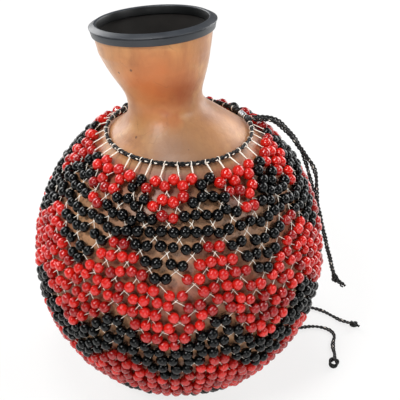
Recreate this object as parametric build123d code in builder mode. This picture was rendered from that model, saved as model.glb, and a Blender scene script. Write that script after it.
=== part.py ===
# Shekere: a dried gourd with a leaning neck, wrapped in a loose net of beads on white thread.
# Millimetres, +Z up, origin at the centre of the flat base. The front faces -Y.
import os
from math import asin, cos, degrees, pi, radians, sin, sqrt, tan

from build123d import *

os.makedirs("parts", exist_ok=True)

# Gourd body, round about the Z axis
base_radius = 30.0
belly_radius = 109.2
belly_height = 110.0
shoulder_radius = 46.1
shoulder_height = 224.5
wall = 5.0

# Neck above the shoulder: rise, sideways shift and radius of each round section, as shares of the collar's
neck_shares = [
    (0.133, 0.140, 0.930),
    (0.300, 0.506, 0.733),
    (0.483, 0.713, 0.720),
    (0.717, 0.872, 0.870),
]
neck_back_share = 0.27
tilt_start_share = 0.4
tilt_left = 3.9
tilt_back = 6.4

# Straight flared collar that ends the neck at the mouth
collar_rise = 60.0
collar_shift = -16.4
collar_radius = 40.0
collar_length = 17.0
mouth_radius = 42.9
mouth_wall = 2.4
mouth_cut = 4.0

# Rubber trim pushed over the edge of the mouth
trim_gap = 0.1
trim_skirt = 1.5
trim_skirt_drop = 5.7
trim_lip_overhang = 0.6
trim_lip_slope = 2.2
trim_groove = 0.5
trim_top = 2.4
trim_inner_leg = 1.4
trim_inner_drop = 4.0
trim_round = 0.6

# Bead net: columns round the gourd, rows of bead pairs down it
columns = 36
bead_rows = 22
bead_diameter = 6.5
bead_bore = 2.0
bead_gap = 0.2
thread_diameter = 0.6
thread_knot_width = 1.76
thread_knot_length = 1.32
hanger_reach = 10.5
base_reach = 37.2
net_clearance = 0.5
fit_gap = 0.25

# Zigzag of black beads on red
zigzag_columns = 4
zigzag_rows = 10
zigzag_slope = 2
black_band = 4
apex_azimuth = 15.0

# Braided cords that draw the net in at the neck and under the base
cord_diameter = 3.0
neck_ring_drop = 2.1
base_knot_rise = 1.5
neck_knot_azimuth = 105.0
base_knot_azimuth = 115.0
cord_knot_length = 6.4
cord_knot_width = 6.0
cord_knot_turns = 3
cord_knot_gap = 0.3

# Crimped metal sleeve on the neck cord
sleeve_azimuth = 115.0
sleeve_length = 6.2
sleeve_diameter = 4.9
sleeve_bore_gap = 0.15

# Loose tails of both cords, each ending in a knot with a short free end
tail_knot_length = 7.6
tail_knot_width = 6.6
tail_end_length = 9.0
tail_side_gap = 0.3
floor_gap = 0.1

bead_radius = bead_diameter / 2
thread_radius = thread_diameter / 2
thread_knot_radius = sqrt(thread_knot_width**2 + thread_knot_length**2) / 2
cord_radius = cord_diameter / 2
cord_knot_radius = cord_knot_width / 2
tail_knot_radius = tail_knot_width / 2
floor_height = cord_radius + floor_gap
half_column = 180.0 / columns

# The body's outline is two arcs that meet upright at the belly
shoulder_rise = shoulder_height - belly_height
shoulder_inset = belly_radius - shoulder_radius
upper_arc = (shoulder_rise**2 + shoulder_inset**2) / (2 * shoulder_inset)
base_inset = belly_radius - base_radius
lower_arc = (belly_height**2 + base_inset**2) / (2 * base_inset)
upper_centre = belly_radius - upper_arc
lower_centre = belly_radius - lower_arc
shoulder_turn = asin(shoulder_rise / upper_arc)
base_turn = asin(belly_height / lower_arc)

# Heights above the skin of bead centres, of the neck cord and of the knot in it
net_lift = net_clearance + bead_radius
neck_cord_lift = net_clearance + thread_diameter + fit_gap + cord_radius
neck_knot_lift = net_clearance + cord_knot_radius

# Neck cord just under the shoulder, base cord just above the floor
neck_ring_height = shoulder_height - neck_ring_drop
neck_slope = asin((neck_ring_height - belly_height) / (upper_arc + neck_cord_lift))
neck_ring_radius = upper_centre + (upper_arc + neck_cord_lift) * cos(neck_slope)
lower_net_arc = lower_arc + net_lift
base_ring_height = cord_knot_radius + base_knot_rise
base_ring_turn = asin((belly_height - base_ring_height) / lower_net_arc)
base_ring_radius = lower_centre + lower_net_arc * cos(base_ring_turn)


# Radius and height at an arc length above the belly, on the outline lifted off the skin
def outline_point(arc, lift):
    radius = lift + (upper_arc if arc > 0 else lower_arc)
    centre = upper_centre if arc > 0 else lower_centre
    return centre + radius * cos(arc / radius), belly_height + radius * sin(arc / radius)


# Outward and sideways directions at an azimuth in degrees, counted from the front towards +X
def outward(azimuth):
    return Vector(sin(radians(azimuth)), -cos(radians(azimuth)), 0)


def sideways(azimuth):
    return Vector(cos(radians(azimuth)), sin(radians(azimuth)), 0)


def ring_point(radius, height, azimuth):
    return outward(azimuth) * radius + Vector(0, 0, height)


def export(solid, name):
    solid.label = name
    export_step(solid, f"parts/{name}.step")


# Gourd shell
def neck_plane(rise, shift):
    share = max(0.0, (rise / collar_rise - tilt_start_share) / (1 - tilt_start_share))
    lean_left = tan(radians(tilt_left)) * share
    lean_back = tan(radians(tilt_back)) * share
    centre = (shift, -shift * neck_back_share, shoulder_height + rise)
    return Plane(origin=centre, x_dir=(1, 0, lean_left), z_dir=(-lean_left, lean_back, 1))


collar_plane = neck_plane(collar_rise, collar_shift)
mouth_plane = collar_plane.offset(collar_length)
collar_flare = (mouth_radius - collar_radius) / collar_length
inner_shoulder = upper_centre + sqrt((upper_arc - wall) ** 2 - shoulder_rise**2)
inner_base = lower_centre + sqrt((lower_arc - wall) ** 2 - (belly_height - wall) ** 2)
outer_sections = [(0.0, 0.0, shoulder_radius)]
for rise, shift, radius in [*neck_shares, (1.0, 1.0, 1.0)]:
    outer_sections.append((rise * collar_rise, shift * collar_shift, radius * collar_radius))
inner_sections = [(0.0, 0.0, inner_shoulder)]
for below, here, above in zip(outer_sections, outer_sections[1:], outer_sections[2:]):
    slope = (above[2] - below[2]) / (above[0] - below[0])
    inner_sections.append((here[0], here[1], here[2] - wall * sqrt(1 + slope**2)))
inner_sections.append((collar_rise, collar_shift, collar_radius - mouth_wall))

with BuildPart() as hollow:
    with BuildSketch(Plane.XZ):
        with BuildLine():
            Polyline((inner_base, wall), (0, wall), (0, shoulder_height), (inner_shoulder, shoulder_height))
            RadiusArc((inner_shoulder, shoulder_height), (belly_radius - wall, belly_height), upper_arc - wall)
            RadiusArc((belly_radius - wall, belly_height), (inner_base, wall), lower_arc - wall)
        make_face()
    revolve(axis=Axis.Z)
    for rise, shift, radius in inner_sections:
        with BuildSketch(neck_plane(rise, shift)):
            Circle(radius)
    loft()
    for length in (0, collar_length + mouth_cut):
        with BuildSketch(collar_plane.offset(length)):
            Circle(collar_radius - mouth_wall + collar_flare * length)
    loft()

with BuildPart() as gourd_shell:
    with BuildSketch(Plane.XZ):
        with BuildLine():
            Polyline((base_radius, 0), (0, 0), (0, shoulder_height), (shoulder_radius, shoulder_height))
            RadiusArc((shoulder_radius, shoulder_height), (belly_radius, belly_height), upper_arc)
            RadiusArc((belly_radius, belly_height), (base_radius, 0), lower_arc)
        make_face()
    revolve(axis=Axis.Z)
    for rise, shift, radius in outer_sections:
        with BuildSketch(neck_plane(rise, shift)):
            Circle(radius)
    loft()
    for length in (0, collar_length):
        with BuildSketch(collar_plane.offset(length)):
            Circle(collar_radius + collar_flare * length)
    loft()
    add(hollow.part, mode=Mode.SUBTRACT)
export(gourd_shell.part, "gourd_shell")

# Rim trim: a channel with a sloped lip and a plain skirt, turned about the mouth's own axis
skirt_inside = mouth_radius + trim_gap
skirt_outside = skirt_inside + trim_skirt
lip_edge = skirt_outside + trim_lip_overhang
leg_outside = mouth_radius - mouth_wall - trim_gap
leg_inside = leg_outside - trim_inner_leg
lip_height = trim_top - trim_lip_slope
with BuildPart() as rim_trim:
    with BuildSketch(Plane(origin=mouth_plane.origin, x_dir=mouth_plane.x_dir, z_dir=-mouth_plane.y_dir)):
        with BuildLine():
            Polyline(
                (skirt_inside - collar_flare * trim_skirt_drop, -trim_skirt_drop),
                (skirt_outside - collar_flare * trim_skirt_drop, -trim_skirt_drop),
                (skirt_outside, lip_height - 2 * trim_groove),
                (skirt_outside - trim_groove, lip_height - trim_groove),
                (lip_edge, lip_height - trim_groove / 2),
                (lip_edge, lip_height),
                (leg_inside + trim_round, trim_top),
                (leg_inside, trim_top - trim_round),
                (leg_inside - collar_flare * trim_inner_drop, -trim_inner_drop),
                (leg_outside - collar_flare * trim_inner_drop, -trim_inner_drop),
                (leg_outside, trim_gap),
                (skirt_inside, trim_gap),
                close=True,
            )
        make_face()
    revolve(axis=Axis(mouth_plane.origin, mouth_plane.z_dir))
export(rim_trim.part, "rim_trim")


# Net rows: every strand has the same straight length from knot to knot, as on a tied net
def knot_point(arc, azimuth):
    return ring_point(*outline_point(arc, net_lift), azimuth)


# Length of a strand from a knot down to a knot half a column aside
def strand_span(arc, step):
    upper_radius, upper_height = outline_point(arc, net_lift)
    lower_radius, lower_height = outline_point(arc - step, net_lift)
    across = upper_radius**2 + lower_radius**2
    across -= 2 * upper_radius * lower_radius * cos(radians(half_column))
    return sqrt(across + (upper_height - lower_height) ** 2)


def rows_down(arc, strand):
    arcs = [arc]
    for _ in range(bead_rows):
        near, far = 0.0, strand
        for _ in range(40):
            step = (near + far) / 2
            if strand_span(arcs[-1], step) > strand:
                far = step
            else:
                near = step
        arcs.append(arcs[-1] - near)
    return arcs


# The strands are as long as it takes for the rows to fill the skin between the hangers and the base threads
top_arc = (upper_arc + net_lift) * neck_slope - hanger_reach
last_arc = base_reach - lower_net_arc * base_ring_turn
shortest, longest = bead_diameter, 4 * bead_diameter
for _ in range(40):
    strand_length = (shortest + longest) / 2
    row_arcs = rows_down(top_arc, strand_length)
    if row_arcs[-1] < last_arc:
        longest = strand_length
    else:
        shortest = strand_length
print("strand length", round(strand_length, 3), "first row arc", round(row_arcs[1], 3))


def row_azimuths(row):
    start = apex_azimuth + (0 if row % 2 else half_column)
    return [start + 2 * half_column * column for column in range(columns)]


# Beads of a pair sit side by side above their knot, and where the ring is crowded one rides higher
def pair_shares(row):
    above = outline_point(row_arcs[row - 1], net_lift)[0] * sin(radians(half_column))
    below = outline_point(row_arcs[row], net_lift)[0] * sin(radians(half_column))
    pitch = bead_diameter + bead_gap
    crowd = pitch / (2 * above) + pitch / (2 * below)
    share = pitch / (2 * above) / max(1.0, crowd)
    stagger = sqrt(max(0.0, pitch**2 - (2 * share * above) ** 2))
    rise = sqrt(strand_length**2 - ((above + below) / 2) ** 2)
    spread = stagger / rise
    return share * (1 - spread), share + spread * (1 - share)


def is_black(row, azimuth):
    column = (azimuth - apex_azimuth) / (2 * half_column)
    from_apex = abs((column + zigzag_columns / 2) % zigzag_columns - zigzag_columns / 2)
    return (row - 1 - zigzag_slope * from_apex) % zigzag_rows < black_band


with BuildPart() as bead:
    with BuildSketch(Plane.XZ):
        Circle(bead_radius)
        Rectangle(bead_bore, bead_diameter, mode=Mode.SUBTRACT)
        split(bisect_by=Plane.YZ)
    revolve(axis=Axis.Z)

# A thread knot is a small drum that lies across the row
def knot_place(arc, azimuth):
    return Plane(origin=knot_point(arc, azimuth), z_dir=sideways(azimuth))


strand_places = {-1: [], 1: []}
knot_places = [knot_place(row_arcs[0], azimuth) for azimuth in row_azimuths(0)]
for row in range(1, bead_rows + 1):
    red_places = []
    black_places = []
    for azimuth in row_azimuths(row):
        knot = knot_point(row_arcs[row], azimuth)
        knot_places.append(knot_place(row_arcs[row], azimuth))
        for side, share in zip((-1, 1), pair_shares(row)):
            strand = knot_point(row_arcs[row - 1], azimuth + side * half_column) - knot
            strand_places[side].append(Plane(origin=knot + strand / 2, z_dir=strand))
            place = Plane(origin=knot + strand * share, z_dir=strand)
            (black_places if is_black(row, azimuth) else red_places).append(place)
    for colour, places in (("red", red_places), ("black", black_places)):
        if places:
            with BuildPart() as bead_row:
                with Locations(*places):
                    add(bead.part)
            export(bead_row.part, f"{colour}_beads_row_{row:02d}")

for side, leaning in ((-1, "left"), (1, "right")):
    with BuildPart() as net_threads:
        with Locations(*strand_places[side]):
            Cylinder(thread_radius, strand_length - 2 * (thread_knot_radius + fit_gap))
    export(net_threads.part, f"net_threads_{leaning}")

with BuildPart() as net_knots:
    with Locations(*knot_places):
        Cylinder(thread_knot_width / 2, thread_knot_length)
export(net_knots.part, "net_knots")

# Each cord is a ring left open where its two ends enter the knot
def open_ring(radius, height, knot_azimuth):
    knot_turn = degrees((cord_knot_length + 2 * cord_knot_gap) / radius)
    start = knot_azimuth + knot_turn / 2
    with BuildPart() as ring:
        with BuildSketch(Plane(origin=ring_point(radius, height, start), z_dir=sideways(start))):
            Circle(cord_radius)
        revolve(axis=Axis.Z, revolution_arc=360 - knot_turn)
    return ring.part


# A cord knot is a short stack of round turns
def turned_knot(length, width, turns):
    turn = length / turns
    with BuildPart() as knot:
        with BuildSketch(Plane.XZ):
            with BuildLine():
                Polyline((width / 2 - turn / 2, -length / 2), (0, -length / 2), (0, length / 2))
                Line((0, length / 2), (width / 2 - turn / 2, length / 2))
                for step in range(turns):
                    top = length / 2 - step * turn
                    inside = width / 2 - turn / 2
                    ThreePointArc((inside, top), (width / 2, top - turn / 2), (inside, top - turn))
            make_face()
        revolve(axis=Axis.Z)
    return knot.part


cord_knot = turned_knot(cord_knot_length, cord_knot_width, cord_knot_turns)
tail_knot = turned_knot(tail_knot_length, tail_knot_width, cord_knot_turns)
export(open_ring(neck_ring_radius, neck_ring_height, neck_knot_azimuth), "neck_cord")

knot_outset = neck_knot_lift - neck_cord_lift
neck_knot_centre = ring_point(
    neck_ring_radius + knot_outset * cos(neck_slope),
    neck_ring_height + knot_outset * sin(neck_slope),
    neck_knot_azimuth,
)
with BuildPart() as neck_knot:
    with Locations(Plane(origin=neck_knot_centre, z_dir=sideways(neck_knot_azimuth))):
        add(cord_knot)
export(neck_knot.part, "neck_knot")

sleeve_centre = ring_point(neck_ring_radius, neck_ring_height, sleeve_azimuth)
with BuildPart() as crimp_sleeve:
    with BuildSketch(Plane(origin=sleeve_centre, z_dir=sideways(sleeve_azimuth))):
        Circle(sleeve_diameter / 2)
        Circle(cord_radius + sleeve_bore_gap, mode=Mode.SUBTRACT)
    extrude(amount=sleeve_length / 2, both=True)
export(crimp_sleeve.part, "crimp_sleeve")

# Base cord under the gourd, at the same height above the skin as the beads
export(open_ring(base_ring_radius, base_ring_height, base_knot_azimuth), "base_cord")

base_knot_centre = ring_point(base_ring_radius, base_ring_height, base_knot_azimuth)
with BuildPart() as base_knot:
    with Locations(Plane(origin=base_knot_centre, z_dir=sideways(base_knot_azimuth))):
        add(cord_knot)
export(base_knot.part, "base_knot")

# A thread loop round a cord, and the doubled threads that run from the loops to the net
loop_radius = cord_radius + fit_gap + thread_radius
loop_clear = loop_radius + thread_radius + fit_gap
knot_clear = thread_knot_radius + fit_gap
thread_side = thread_radius + fit_gap / 2
with BuildPart() as thread_loop:
    Torus(loop_radius, thread_radius)

hanger_azimuths = row_azimuths(0)
hanger_span = knot_point(row_arcs[0], 0) - ring_point(neck_ring_radius, neck_ring_height, 0)
hanger_length = hanger_span.length - loop_clear - knot_clear
with BuildPart() as hanger_loops:
    with Locations(
        *[
            Plane(origin=ring_point(neck_ring_radius, neck_ring_height, azimuth), z_dir=sideways(azimuth))
            for azimuth in hanger_azimuths
        ]
    ):
        add(thread_loop.part)
export(hanger_loops.part, "hanger_loops")

hanger_places = []
for azimuth in hanger_azimuths:
    cord_point = ring_point(neck_ring_radius, neck_ring_height, azimuth)
    run = (knot_point(row_arcs[0], azimuth) - cord_point).normalized()
    middle = cord_point + run * (loop_clear + hanger_length / 2)
    for side in (-1, 1):
        hanger_places.append(Plane(origin=middle + sideways(azimuth) * side * thread_side, z_dir=run))
with BuildPart() as hanger_threads:
    with Locations(*hanger_places):
        Cylinder(thread_radius, hanger_length)
export(hanger_threads.part, "hanger_threads")

last_turn = -row_arcs[-1] / lower_net_arc
base_azimuths = row_azimuths(bead_rows)
base_thread_start = last_turn + knot_clear / lower_net_arc
base_thread_turn = base_ring_turn - loop_clear / lower_net_arc - base_thread_start
with BuildPart() as base_pair:
    with BuildSketch(Plane.XY):
        with Locations((lower_net_arc, -thread_side), (lower_net_arc, thread_side)):
            Circle(thread_radius)
    revolve(axis=Axis.Y, revolution_arc=degrees(base_thread_turn))
base_places = []
loop_places = []
for azimuth in base_azimuths:
    out, up = outward(azimuth), Vector(0, 0, 1)
    start = out * cos(base_thread_start) - up * sin(base_thread_start)
    rising = out * sin(base_thread_start) + up * cos(base_thread_start)
    base_places.append(Plane(origin=ring_point(lower_centre, belly_height, azimuth), x_dir=start, z_dir=rising))
    loop_places.append(
        Plane(origin=ring_point(base_ring_radius, base_ring_height, azimuth), z_dir=sideways(azimuth))
    )
with BuildPart() as base_threads:
    with Locations(*base_places):
        add(base_pair.part)
export(base_threads.part, "base_threads")
with BuildPart() as base_loops:
    with Locations(*loop_places):
        add(thread_loop.part)
export(base_loops.part, "base_loops")

# Cord tails: straight runs joined by arcs as large as the runs allow
tail_side = cord_radius + tail_side_gap / 2
tail_out = cord_knot_radius + 2 * cord_knot_gap
run_share = 0.45
free_end_start = tail_knot_length / 2 + 3 * cord_knot_gap


def tail_start(knot_centre, azimuth, side):
    return knot_centre + outward(azimuth) * tail_out + sideways(azimuth) * side * tail_side


# A point off the beads: share of the turn up to the shoulder or down to the base, outset as share of the belly
def beside_net(along, out, azimuth):
    lift = net_clearance + bead_diameter + out * belly_radius
    radius = lift + (upper_arc if along > 0 else lower_arc)
    turn = along * (shoulder_turn if along > 0 else base_turn)
    return ring_point(*outline_point(turn * radius, lift), azimuth)


# A point on the floor outside the base cord, raised by a share of that cord's height
def on_floor(out, azimuth, rise=0.0):
    height = floor_height + rise * (base_ring_height - floor_height)
    return ring_point(base_ring_radius + out * belly_radius, height, azimuth)


def floor_knot(out, azimuth):
    return ring_point(base_ring_radius + out * belly_radius, tail_knot_radius + floor_gap, azimuth)


def cord_tail(name, route, free_end):
    runs = [after - before for before, after in zip(route, route[1:])]
    radii = []
    for before, after in zip(runs, runs[1:]):
        half_turn = radians(before.get_angle(after) / 2)
        radii.append(run_share * min(before.length, after.length) / tan(half_turn))
    with BuildPart() as tail:
        with BuildLine() as path:
            FilletPolyline(*route, radius=radii)
        with BuildSketch(Plane(origin=route[0], z_dir=runs[0])):
            Circle(cord_radius)
        sweep()
    length = path.wire().length
    section = pi * cord_radius**2
    print(name, "length", round(length, 1), "volume ratio", round(tail.part.volume / section / length, 4))
    export(tail.part, name)

    end = runs[-1].normalized()
    centre = route[-1] + end * (cord_knot_gap + tail_knot_length / 2)
    free = Vector(free_end).normalized()
    with BuildPart() as knot:
        with Locations(Plane(origin=centre, z_dir=end)):
            add(tail_knot)
        with BuildSketch(Plane(origin=centre + free * free_end_start, z_dir=free)):
            Circle(cord_radius)
        extrude(amount=tail_end_length)
    export(knot.part, f"{name}_knot")


cord_tail(
    "neck_tail_front",
    [
        tail_start(neck_knot_centre, neck_knot_azimuth, -1),
        beside_net(0.883, 0.029, 102.5),
        beside_net(0.825, 0.063, 102.9),
        beside_net(0.741, 0.076, 101.6),
        beside_net(0.634, 0.068, 100.6),
        beside_net(0.561, 0.076, 100.0),
        beside_net(0.484, 0.087, 99.6),
        beside_net(0.409, 0.081, 99.4),
        beside_net(0.322, 0.047, 99.4),
        beside_net(0.226, 0.034, 99.2),
        beside_net(0.121, 0.048, 98.8),
        beside_net(0.003, 0.087, 98.4),
        beside_net(-0.109, 0.153, 98.0),
        beside_net(-0.220, 0.257, 98.0),
    ],
    (0.75, -0.1, -0.65),
)
cord_tail(
    "neck_tail_back",
    [
        tail_start(neck_knot_centre, neck_knot_azimuth, 1),
        beside_net(0.882, 0.032, 106.2),
        beside_net(0.826, 0.070, 106.0),
        beside_net(0.742, 0.088, 105.4),
        beside_net(0.628, 0.082, 105.1),
        beside_net(0.516, 0.070, 104.8),
        beside_net(0.390, 0.048, 104.9),
        beside_net(0.279, 0.047, 105.2),
        beside_net(0.177, 0.056, 104.1),
        beside_net(0.082, 0.074, 102.8),
        beside_net(-0.033, 0.119, 102.1),
        beside_net(-0.143, 0.193, 101.6),
        beside_net(-0.247, 0.304, 101.4),
    ],
    (0.72, 0.12, -0.68),
)
cord_tail(
    "base_tail_back",
    [
        tail_start(base_knot_centre, base_knot_azimuth, 1),
        on_floor(0.121, 117.5, 0.90),
        on_floor(0.229, 117.3, 0.28),
        on_floor(0.356, 117.2),
        on_floor(0.494, 117.3),
        on_floor(0.629, 116.7),
        on_floor(0.743, 115.2),
        on_floor(0.834, 112.6),
        on_floor(0.901, 109.4),
        on_floor(0.947, 105.8),
        on_floor(0.997, 102.7),
        floor_knot(1.049, 100.4),
    ],
    (0.8, -0.6, 0.0),
)
cord_tail(
    "base_tail_front",
    [
        tail_start(base_knot_centre, base_knot_azimuth, -1),
        on_floor(0.115, 110.8, 0.90),
        on_floor(0.201, 107.0, 0.28),
        on_floor(0.308, 104.1),
        on_floor(0.421, 102.5),
        on_floor(0.530, 102.1),
        on_floor(0.632, 102.4),
        on_floor(0.728, 102.1),
        on_floor(0.811, 100.6),
        on_floor(0.869, 98.2),
        on_floor(0.878, 95.2),
        on_floor(0.846, 92.3),
        on_floor(0.831, 88.6),
        on_floor(0.842, 85.1),
        floor_knot(0.828, 81.6),
    ],
    (0.5, -0.85, 0.0),
)
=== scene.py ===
from math import acos, asin, cos, degrees, pi, radians, sin, sqrt

import bpy
import numpy as np
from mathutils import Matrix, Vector, noise


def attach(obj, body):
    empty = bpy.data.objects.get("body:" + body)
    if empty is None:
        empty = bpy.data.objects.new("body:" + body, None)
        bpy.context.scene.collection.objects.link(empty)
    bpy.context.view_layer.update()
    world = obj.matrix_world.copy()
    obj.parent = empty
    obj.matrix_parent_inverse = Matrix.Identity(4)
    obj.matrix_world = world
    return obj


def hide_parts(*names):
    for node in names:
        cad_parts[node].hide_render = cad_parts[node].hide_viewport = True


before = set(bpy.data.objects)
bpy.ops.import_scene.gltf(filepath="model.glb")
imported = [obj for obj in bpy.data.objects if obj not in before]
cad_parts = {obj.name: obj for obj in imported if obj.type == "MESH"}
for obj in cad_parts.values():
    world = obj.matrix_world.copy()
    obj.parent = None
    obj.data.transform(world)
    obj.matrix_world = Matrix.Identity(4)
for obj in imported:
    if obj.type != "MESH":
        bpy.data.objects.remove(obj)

# Sizes are written in millimetres and go to metres when a mesh is made.
# The front of the shekere faces -Y, azimuths are counted in degrees from there towards +X.
scene = bpy.context.scene
scene.view_settings.view_transform = "Standard"
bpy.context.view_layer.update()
toMetres = 0.001
print("frame loaded,", len(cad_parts), "nodes")


def addNode(tree, kind, inputs=None, **settings):
    node = tree.nodes.new(kind)
    for name, value in settings.items():
        setattr(node, name, value)
    for key, value in (inputs or {}).items():
        if isinstance(value, bpy.types.NodeSocket):
            tree.links.new(value, node.inputs[key])
        else:
            node.inputs[key].default_value = value
    return node


def hexColour(text):
    channels = [int(text[i:i + 2], 16) / 255 for i in (1, 3, 5)]
    linear = [c / 12.92 if c <= 0.04045 else ((c + 0.055) / 1.055) ** 2.4 for c in channels]
    return (*linear, 1.0)


def newMaterial(name):
    material = bpy.data.materials.new(name)
    material.use_nodes = True
    material.node_tree.nodes.clear()
    return material, material.node_tree


def perMetre(sizeMm):
    return 1 / (sizeMm * toMetres)


# Small parts of a material, most of which hand back the socket that the next part takes
def objectPlace(tree):
    return addNode(tree, "ShaderNodeTexCoord").outputs["Object"]


def addNoise(tree, place, sizeMm, detail, **more):
    return addNode(tree, "ShaderNodeTexNoise", {
        "Vector": place, "Scale": perMetre(sizeMm), "Detail": detail, **more}).outputs


def addMark(tree, name):
    return addNode(tree, "ShaderNodeAttribute", attribute_name=name).outputs["Fac"]


def mixTones(tree, share, under, over):
    tones = [hexColour(tone) if isinstance(tone, str) else tone for tone in (under, over)]
    return addNode(tree, "ShaderNodeMix", {0: share, 6: tones[0], 7: tones[1]}, data_type="RGBA").outputs[2]


def addRamp(tree, share, *stops):
    ramp = addNode(tree, "ShaderNodeValToRGB", {"Fac": share})
    for element, (position, tone) in zip(ramp.color_ramp.elements, stops):
        element.position, element.color = position, hexColour(tone)
    return ramp.outputs["Color"]


def remap(tree, value, fromRange, toRange):
    return addNode(tree, "ShaderNodeMapRange", {
        "Value": value, "From Min": fromRange[0], "From Max": fromRange[1],
        "To Min": toRange[0], "To Max": toRange[1]}).outputs["Result"]


def calculate(tree, operation, *terms, **settings):
    node = addNode(tree, "ShaderNodeMath", dict(enumerate(terms)), operation=operation, **settings)
    return node.outputs["Value"]


def distanceFrom(tree, place, point):
    return addNode(tree, "ShaderNodeVectorMath", {0: place, 1: point}, operation="DISTANCE").outputs["Value"]


def bendPlace(tree, place, towards, share):
    return addNode(tree, "ShaderNodeMix", {0: share, 4: place, 5: towards}, data_type="VECTOR").outputs[1]


def addBump(tree, height, strength, distance):
    return addNode(tree, "ShaderNodeBump", {
        "Height": height, "Strength": strength, "Distance": distance}).outputs["Normal"]


def addShader(tree, inputs):
    shader = addNode(tree, "ShaderNodeBsdfPrincipled", inputs)
    addNode(tree, "ShaderNodeOutputMaterial", {"Surface": shader.outputs["BSDF"]})


# Camera at the photograph's angle
cameraLook = {
    "target": (0, 0, 0.105),
    "distance": 0.640,
    "elevation": 36.24,
    "focalPixels": 764,
    "framePixels": 400,
    "targetPixel": (179, 255),
    "sensor": 36,
}
camera = bpy.data.objects.new("camera", bpy.data.cameras.new("camera"))
scene.collection.objects.link(camera)
lift = radians(cameraLook["elevation"])
back = Vector((0, -cos(lift), sin(lift)))
camera.location = Vector(cameraLook["target"]) + back * cameraLook["distance"]
camera.rotation_euler = (pi / 2 - lift, 0, 0)
camera.data.sensor_width = cameraLook["sensor"]
camera.data.lens = cameraLook["focalPixels"] / cameraLook["framePixels"] * cameraLook["sensor"]
camera.data.shift_x = 0.5 - cameraLook["targetPixel"][0] / cameraLook["framePixels"]
camera.data.shift_y = cameraLook["targetPixel"][1] / cameraLook["framePixels"] - 0.5
camera.data.clip_start = 0.01
scene.camera = camera
print("camera set")

# Plaited nylon cord: black filament that shines a little along each strand, with a soft nap
cordNylon, tree = newMaterial("plaited black nylon cord")
filament = addNoise(tree, objectPlace(tree), 0.8, 3.0)["Fac"]  # coarser than real filament
addShader(tree, {
    "Base Color": mixTones(tree, filament, "#020203", "#090a0b"), "Roughness": 0.42, "IOR": 1.4,
    "Sheen Weight": 0.04, "Sheen Roughness": 0.5, "Normal": addBump(tree, filament, 0.5, 0.0003)})

# Waxed cotton thread: off-white, slightly glossy with wax, a little grubby in places
threadCotton, tree = newMaterial("waxed white cotton thread")
place = objectPlace(tree)
grime = addNoise(tree, place, 14, 4.0)["Fac"]
ply = addNoise(tree, place, 0.7, 2.0)["Fac"]
addShader(tree, {
    "Base Color": mixTones(tree, grime, "#fdf9f2", "#e6d8c4"), "Roughness": 0.55, "IOR": 1.5,
    "Sheen Weight": 0.15, "Normal": addBump(tree, ply, 0.4, 0.0002)})


def meshPiece(name, points, faces, materials, faceMaterials=None):
    mesh = bpy.data.meshes.new(name)
    mesh.from_pydata((np.asarray(points, float) * toMetres).tolist(), [], faces)
    for material in materials:
        mesh.materials.append(material)
    mesh.polygons.foreach_set("use_smooth", np.ones(len(mesh.polygons), bool))
    if faceMaterials is not None:
        mesh.polygons.foreach_set("material_index", np.asarray(faceMaterials, np.int32))
    mesh.update()
    piece = bpy.data.objects.new(name, mesh)
    scene.collection.objects.link(piece)
    return piece


def seat(piece, body, slot, *nodes):
    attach(piece, body)
    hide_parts(*nodes)
    return piece


def unit(vectors):
    return vectors / np.linalg.norm(vectors, axis=-1, keepdims=True)


def outward(azimuth):
    return np.array((sin(radians(azimuth)), -cos(radians(azimuth)), 0.0))


def sideways(azimuth):
    return np.array((cos(radians(azimuth)), sin(radians(azimuth)), 0.0))


# Points along a smooth line through a route, read from its NURBS spline
def routeLine(name, route):
    curve = bpy.data.curves.new(name, "CURVE")
    curve.dimensions = "3D"
    spline = curve.splines.new("NURBS")
    spline.points.add(len(route) - 1)
    for point, place in zip(spline.points, route):
        point.co = (*(Vector(place) * toMetres), 1.0)
    spline.order_u = 3
    spline.use_endpoint_u = True
    spline.resolution_u = 16
    holder = bpy.data.objects.new(name, curve)
    mesh = bpy.data.meshes.new_from_object(holder)
    line = np.array([vertex.co for vertex in mesh.vertices]) / toMetres
    bpy.data.meshes.remove(mesh)
    bpy.data.objects.remove(holder)
    bpy.data.curves.remove(curve)
    return line


def evenly(line, step):
    along = np.r_[0, np.cumsum(np.linalg.norm(np.diff(line, axis=0), axis=1))]
    at = np.linspace(0, along[-1], max(3, int(round(along[-1] / step)) + 1))
    return np.stack([np.interp(at, along, line[:, k]) for k in range(3)], 1), at


# Two directions across a line that turn with it and never flip
def lineFrame(line, firstAcross=None):
    ahead = unit(np.gradient(line, axis=0))
    across = np.array(firstAcross if firstAcross is not None else (0.0, 0.0, 1.0))
    acrossList = []
    for direction in ahead:
        across = across - direction * (across @ direction)
        if np.linalg.norm(across) < 1e-6:
            across = np.cross(direction, (1.0, 0.3, 0.2))
        across = across / np.linalg.norm(across)
        acrossList.append(across)
    acrossArray = np.array(acrossList)
    return acrossArray, np.cross(ahead, acrossArray)


# Faces between rings that have the same number of points
def ringFaces(count, sides):
    faces = []
    for i in range(count - 1):
        for k in range(sides):
            nextK = (k + 1) % sides
            faces.append((i * sides + k, i * sides + nextK, (i + 1) * sides + nextK, (i + 1) * sides + k))
    return faces


def endFaces(count, sides):
    return [tuple(range(sides))[::-1], tuple((count - 1) * sides + k for k in range(sides))]


# A tube of faces round a line, closed at both ends
def tubeFaces(line, radius, sides, firstAcross=None):
    across, over = lineFrame(line, firstAcross)
    turn = np.arange(sides) / sides * 2 * pi
    ring = np.cos(turn)[None, :, None] * across[:, None] + np.sin(turn)[None, :, None] * over[:, None]
    points = (line[:, None] + ring * radius).reshape(-1, 3)
    return points, ringFaces(len(line), sides) + endFaces(len(line), sides)


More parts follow.
